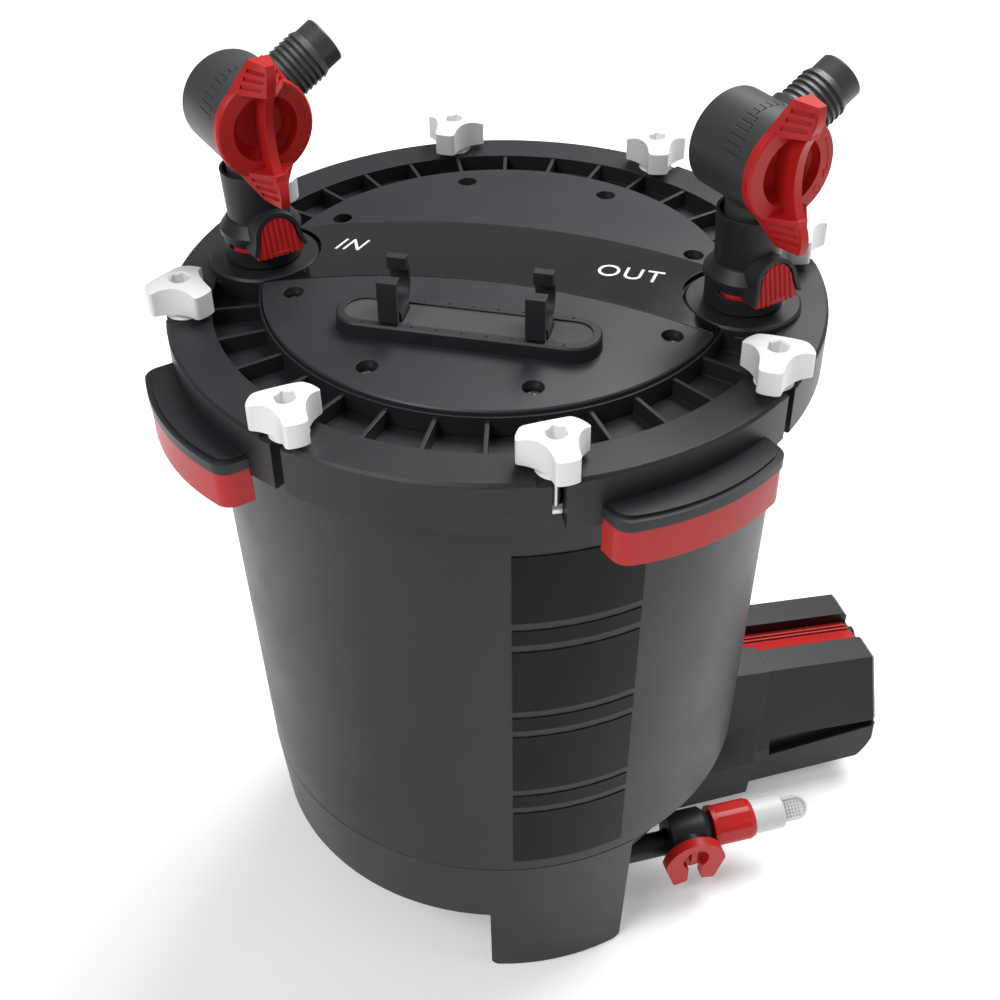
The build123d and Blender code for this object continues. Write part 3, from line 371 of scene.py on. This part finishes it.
def port_label(side):
    """The plain word for the port's flow, printed on the band and following its dome."""
    word, centre_x, stretch, slant = LABELS[side]
    curve = bpy.data.curves.new(f"label_{side}", "FONT")
    curve.body = word
    curve.align_x = "CENTER"
    curve.align_y = "CENTER"
    curve.size = 1.0
    curve.space_character = LABEL_SPACING
    letters = bpy.data.objects.new(f"label_{side}_letters", curve)
    bpy.context.scene.collection.objects.link(letters)
    bpy.context.view_layer.update()
    flat = bpy.data.meshes.new_from_object(letters)
    bpy.data.objects.remove(letters)
    shape = bmesh.new()
    shape.from_mesh(flat)
    bpy.data.meshes.remove(flat)
    bmesh.ops.remove_doubles(shape, verts=shape.verts, dist=WELD)
    top = max(v.co.y for v in shape.verts)
    low = min(v.co.y for v in shape.verts)
    scale = LABEL_CAP / (top - low)
    made = bmesh.ops.extrude_face_region(shape, geom=shape.faces[:])
    raised = {v for v in made["geom"] if isinstance(v, bmesh.types.BMVert)}
    band = NODES["badge_band"]
    for vert in shape.verts:
        y = (vert.co.y - (top + low) / 2) * scale
        x = vert.co.x * scale * stretch + y * slant
        start = Vector((centre_x + x, LABEL_Y + y, BADGE_TOP + LABEL_DROP))
        hit, point, _, _ = band.ray_cast(start, Vector((0, 0, -1)))
        if not hit:
            raise ValueError(f"the {word} label runs off the band")
        vert.co = point + Vector((0, 0, LABEL_LIFT if vert in raised else -LABEL_LIFT))
    mesh_piece(f"label_{side}", shape, "white_plastic", "tank")


SYMBOL_R = 21.8 * MM
SYMBOL_W = 0.9 * MM
SYMBOL_THIN = 0.7
CROSS_THIN = 0.6
SYMBOL_H = 0.35 * MM
SYMBOL_SINK = 0.1 * MM
PROBE_REACH = 0.1
SHUT_AT = 36.0
OPEN_AT = 128.0
CIRCLE_R = 2.1 * MM
CIRCLE_POINTS = 24
CROSS_R = 3.2 * MM
ARC_FROM = 58.0
ARC_STEP = 3.0
ARC_POINTS = 16
ARROW_TIP = 113.0
ARROW_BACK = 102.0
ARROW_HALF = 1.7 * MM


def lever_symbols(side):
    """Raised marks on the lever's ring: shut, a turning arrow, and open."""
    node = f"{side}_valve_lever"
    joint = next(j for j in frame["joints"] if j["name"] == f"{side}_lever_turn")
    axis = Vector(joint["axis"]).normalized()
    centre = Vector(joint["pos_m"])
    lever = NODES[node]
    up = Vector((0, 0, 1))
    right = up.cross(axis)
    probe = centre + right * SYMBOL_R + axis * PROBE_REACH
    hit, point, _, _ = lever.ray_cast(probe, -axis)
    if not hit:
        raise ValueError(f"{node} has no ring face to mark")
    front = (point - centre).dot(axis) - SYMBOL_SINK
    place = Matrix.Translation(centre + axis * front) @ Matrix((
        (right.x, up.x, axis.x, 0), (right.y, up.y, axis.y, 0), (right.z, up.z, axis.z, 0),
        (0, 0, 0, 1)))
    shape = bmesh.new()
    for degrees in (SHUT_AT, OPEN_AT):
        middle = clock(SYMBOL_R, degrees)
        circle = [middle + clock(CIRCLE_R, 360.0 / CIRCLE_POINTS * k)
                  for k in range(CIRCLE_POINTS)]
        add_strip(shape, place, circle, SYMBOL_W * SYMBOL_THIN, SYMBOL_H, closed=True)
    shut = clock(SYMBOL_R, SHUT_AT)
    for degrees in (0.0, 90.0):
        ends = [shut + clock(CROSS_R, degrees + turn) for turn in (0.0, 180.0)]
        add_strip(shape, place, ends, SYMBOL_W * CROSS_THIN, SYMBOL_H)
    arc = [clock(SYMBOL_R, ARC_FROM + ARC_STEP * k) for k in range(ARC_POINTS)]
    add_strip(shape, place, arc, SYMBOL_W, SYMBOL_H)
    tip = [clock(SYMBOL_R, ARROW_TIP), clock(SYMBOL_R + ARROW_HALF, ARROW_BACK),
           clock(SYMBOL_R - ARROW_HALF, ARROW_BACK)]
    add_wedge(shape, place, [tuple(corner) for corner in tip], SYMBOL_H)
    mesh_piece(f"{side}_lever_symbols", shape, "red_plastic", f"{side}_lever")


# ---- Camera, light and floor -----------------------------------------------------------
CAMERA_BEARING = 13.7
CAMERA_PITCH = 39.22
CAMERA_ROLL = -0.835
CAMERA_PLACE = (0.1536, -0.6301, 0.7877)
LENS_MM = 51.53
SENSOR_MM = 36.0


def make_camera():
    data = bpy.data.cameras.new("camera")
    data.lens = LENS_MM
    data.sensor_width = SENSOR_MM
    data.dof.use_dof = False
    camera = bpy.data.objects.new("camera", data)
    turn = Matrix.Rotation(radians(CAMERA_BEARING), 4, "Z")
    tilt = Matrix.Rotation(radians(90 - CAMERA_PITCH), 4, "X")
    roll = Matrix.Rotation(radians(CAMERA_ROLL), 4, "Z")
    camera.matrix_world = Matrix.Translation(CAMERA_PLACE) @ turn @ tilt @ roll
    bpy.context.scene.collection.objects.link(camera)
    bpy.context.scene.camera = camera


def area_light(name, place, target, size, power):
    data = bpy.data.lights.new(name, "AREA")
    data.shape = "RECTANGLE"
    data.size, data.size_y = size
    data.energy = power
    light = bpy.data.objects.new(name, data)
    light.location = place
    aim = (Vector(target) - Vector(place)).to_track_quat("-Z", "Y")
    light.rotation_euler = aim.to_euler()
    bpy.context.scene.collection.objects.link(light)


# Each light's place, the point it looks at, its size and its power in watts.
LIGHTS = {
    "key": ((-0.9, -1.6, 2.2), (0, 0, 0.25), (1.3, 1.0), 36.0),
    "overhead": ((0.6, 1.15, 2.2), (0, 0, 0.3), (1.6, 1.4), 78.0),
    "rim": ((2.0, -0.2, 0.9), (0, 0, 0.25), (0.6, 1.2), 2.0),
}
WORLD_COLOUR = (0.98, 0.99, 1.0)
WORLD_STRENGTH = 0.3


def make_lights():
    for name, settings in LIGHTS.items():
        area_light(name, *settings)
    world = bpy.data.worlds.new("world")
    world.use_nodes = True
    background = world.node_tree.nodes["Background"]
    background.inputs["Color"].default_value = (*WORLD_COLOUR, 1.0)
    background.inputs["Strength"].default_value = WORLD_STRENGTH
    bpy.context.scene.world = world
    bpy.context.scene.view_settings.view_transform = "Standard"


FLOOR_HALF = 6.0
FLOOR_WHITE = (0.88, 0.88, 0.88)
FLOOR_GLOW = 0.23


def make_floor():
    mesh = bpy.data.meshes.new("floor")
    corners = [(x * FLOOR_HALF, y * FLOOR_HALF, 0)
               for x, y in ((-1, -1), (1, -1), (1, 1), (-1, 1))]
    mesh.from_pydata(corners, [], [(0, 1, 2, 3)])
    floor = bpy.data.objects.new("floor", mesh)
    surface = Surface("floor", FLOOR_WHITE, 0.6, specular=0.2)
    surface.mottle(3.0, 0.01)
    surface.shader.inputs["Emission Color"].default_value = (1.0, 1.0, 1.0, 1.0)
    surface.shader.inputs["Emission Strength"].default_value = FLOOR_GLOW
    mesh.materials.append(surface.material)
    bpy.context.scene.collection.objects.link(floor)


make_camera()
make_lights()
make_floor()
dress_cad_nodes()
for side in SIDES:
    port_label(side)
    lever_symbols(side)
